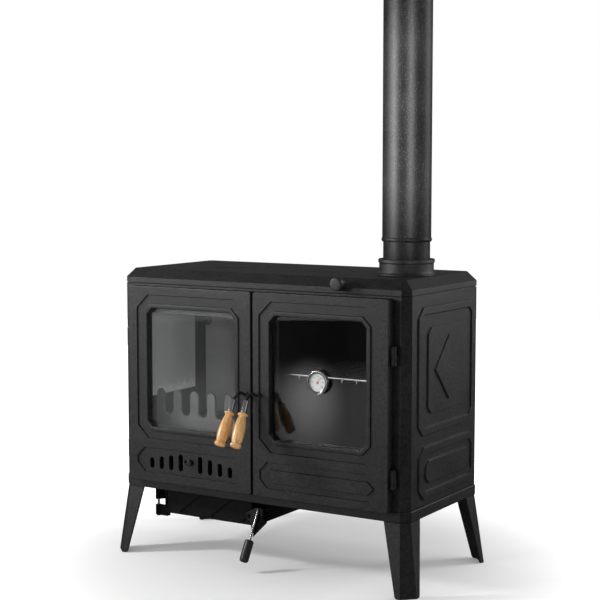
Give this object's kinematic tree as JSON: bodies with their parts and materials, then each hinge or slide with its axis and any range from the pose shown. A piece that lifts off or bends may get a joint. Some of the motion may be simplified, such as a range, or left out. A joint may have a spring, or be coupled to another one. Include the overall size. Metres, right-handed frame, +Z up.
{
  "type": "cast iron stove",
  "caption": "Free-standing cast iron wood stove: glazed firebox door, glazed oven door with thermometer, ring hobs, damper, flue pipe, ash box with lever, splayed legs",
  "frame": {"origin": "on the floor, under the middle of the whole stove's bounding box, handles and feet included", "axes": "+X to the right as seen by someone who faces the doors, where the oven is; +Y to the back; +Z up"},
  "size_m": [0.876, 0.5553, 1.425],
  "materials": {
    "cast_iron_black": "satin black heat paint on fine sand-cast grain",
    "hob_iron": "satin black, machined rims",
    "lining_grey": "matt light grey lining plate",
    "flue_paint": "satin dark grey heat paint with orange peel",
    "bright_steel": "bright plated steel",
    "chrome_trim": "polished",
    "black_steel": "black, half gloss",
    "oven_sheet": "dark enamelled sheet",
    "door_glass": "clear heat-proof glass, slightly smoked",
    "seal_rope": "woven glass-fibre rope, dark",
    "turned_beech": "turned and clear lacquered",
    "dial_white": "printed white",
    "needle_red": "red",
    "black_bakelite": "black, half gloss"
  },
  "bodies": {
    "stove_body": {"base_plate": "cast_iron_black", "front_frame": "cast_iron_black", "side_panel_left": "cast_iron_black", "side_panel_right": "cast_iron_black", "back_panel": "cast_iron_black", "top_plate": "cast_iron_black", "leg_front_left": "cast_iron_black", "leg_front_right": "cast_iron_black", "leg_rear_left": "cast_iron_black", "leg_rear_right": "cast_iron_black", "flue_collar": "cast_iron_black", "firebox_partition": "cast_iron_black", "firebox_grate": "cast_iron_black", "fire_guard": "cast_iron_black", "ash_box": "cast_iron_black", "firebox_liner_left": "lining_grey", "firebox_liner_rear": "lining_grey", "flue_stub": "flue_paint", "flue_pipe": "flue_paint", "oven_rack": "bright_steel", "ash_hinge_pin": "bright_steel", "firebox_hinge_pin_lower": "bright_steel", "firebox_hinge_pin_upper": "bright_steel", "oven_hinge_pin_lower": "bright_steel", "oven_hinge_pin_upper": "bright_steel", "oven_liner": "oven_sheet", "ash_pan": "oven_sheet"},
    "firebox_door": {"firebox_door": "cast_iron_black", "firebox_glass": "door_glass", "firebox_glass_retainer": "black_steel", "firebox_door_seal": "seal_rope"},
    "firebox_handle": {"firebox_handle_arm": "black_steel", "firebox_handle_ferrule": "chrome_trim", "firebox_handle_grip": "turned_beech", "firebox_latch_hook": "black_steel"},
    "air_slide": {"air_slide": "black_steel", "air_slide_knob": "black_steel"},
    "oven_door": {"oven_door": "cast_iron_black", "oven_glass": "door_glass", "oven_glass_retainer": "black_steel", "oven_door_seal": "seal_rope", "thermometer_case": "chrome_trim", "thermometer_dial": "dial_white"},
    "oven_handle": {"oven_handle_arm": "black_steel", "oven_handle_ferrule": "chrome_trim", "oven_handle_grip": "turned_beech", "oven_latch_hook": "black_steel"},
    "thermometer_needle": {"thermometer_needle": "needle_red"},
    "damper": {"damper_blade": "black_steel", "damper_rod": "bright_steel", "damper_knob": "black_bakelite"},
    "ash_door": {"ash_door": "cast_iron_black"},
    "ash_lever": {"ash_lever": "cast_iron_black", "ash_lever_rod": "bright_steel", "ash_lever_knob": "black_bakelite"},
    "hob_ring_outer": {"hob_ring_outer": "hob_iron"},
    "hob_ring_inner": {"hob_ring_inner": "hob_iron"},
    "hob_lid_left": {"hob_lid_left": "hob_iron"},
    "hob_ring_right": {"hob_ring_right": "hob_iron"},
    "hob_lid_right": {"hob_lid_right": "hob_iron"}
  },
  "joints": [
    {"name": "firebox_door_hinge", "type": "hinge", "parent": "stove_body", "child": "firebox_door", "pos_m": [-0.3835, -0.1434, 0.277], "axis": [0, 0, -1], "range_deg": [0, 120]},
    {"name": "oven_door_hinge", "type": "hinge", "parent": "stove_body", "child": "oven_door", "pos_m": [0.3835, -0.1434, 0.277], "axis": [0, 0, 1], "range_deg": [0, 120]},
    {"name": "firebox_handle_turn", "type": "hinge", "parent": "firebox_door", "child": "firebox_handle", "pos_m": [-0.0175, -0.1574, 0.448], "axis": [0, 1, 0], "range_deg": [0, 75]},
    {"name": "oven_handle_turn", "type": "hinge", "parent": "oven_door", "child": "oven_handle", "pos_m": [0.0175, -0.1574, 0.448], "axis": [0, -1, 0], "range_deg": [0, 75]},
    {"name": "air_slide_travel", "type": "slide", "parent": "firebox_door", "child": "air_slide", "axis": [-1, 0, 0], "range_m": [0, 0.015]},
    {"name": "thermometer_needle_turn", "type": "hinge", "parent": "oven_door", "child": "thermometer_needle", "pos_m": [0.1845, -0.1518, 0.4925], "axis": [0, 1, 0], "range_deg": [-154, 106]},
    {"name": "damper_travel", "type": "slide", "parent": "stove_body", "child": "damper", "axis": [0, -1, 0], "range_m": [0, 0.115]},
    {"name": "ash_door_hinge", "type": "hinge", "parent": "stove_body", "child": "ash_door", "pos_m": [-0.349, -0.0729, 0.092], "axis": [0, 0, -1], "range_deg": [0, 80]},
    {"name": "ash_lever_turn", "type": "hinge", "parent": "ash_door", "child": "ash_lever", "pos_m": [-0.0555, -0.0852, 0.128], "axis": [0, -1, 0], "range_deg": [0, 32]},
    {"name": "hob_ring_outer_lift", "type": "slide", "parent": "stove_body", "child": "hob_ring_outer", "axis": [0, 0, 1], "range_m": [0, 0.06]},
    {"name": "hob_ring_inner_lift", "type": "slide", "parent": "hob_ring_outer", "child": "hob_ring_inner", "axis": [0, 0, 1], "range_m": [0, 0.06]},
    {"name": "hob_lid_left_lift", "type": "slide", "parent": "hob_ring_inner", "child": "hob_lid_left", "axis": [0, 0, 1], "range_m": [0, 0.06]},
    {"name": "hob_ring_right_lift", "type": "slide", "parent": "stove_body", "child": "hob_ring_right", "axis": [0, 0, 1], "range_m": [0, 0.06]},
    {"name": "hob_lid_right_lift", "type": "slide", "parent": "hob_ring_right", "child": "hob_lid_right", "axis": [0, 0, 1], "range_m": [0, 0.06]}
  ]
}
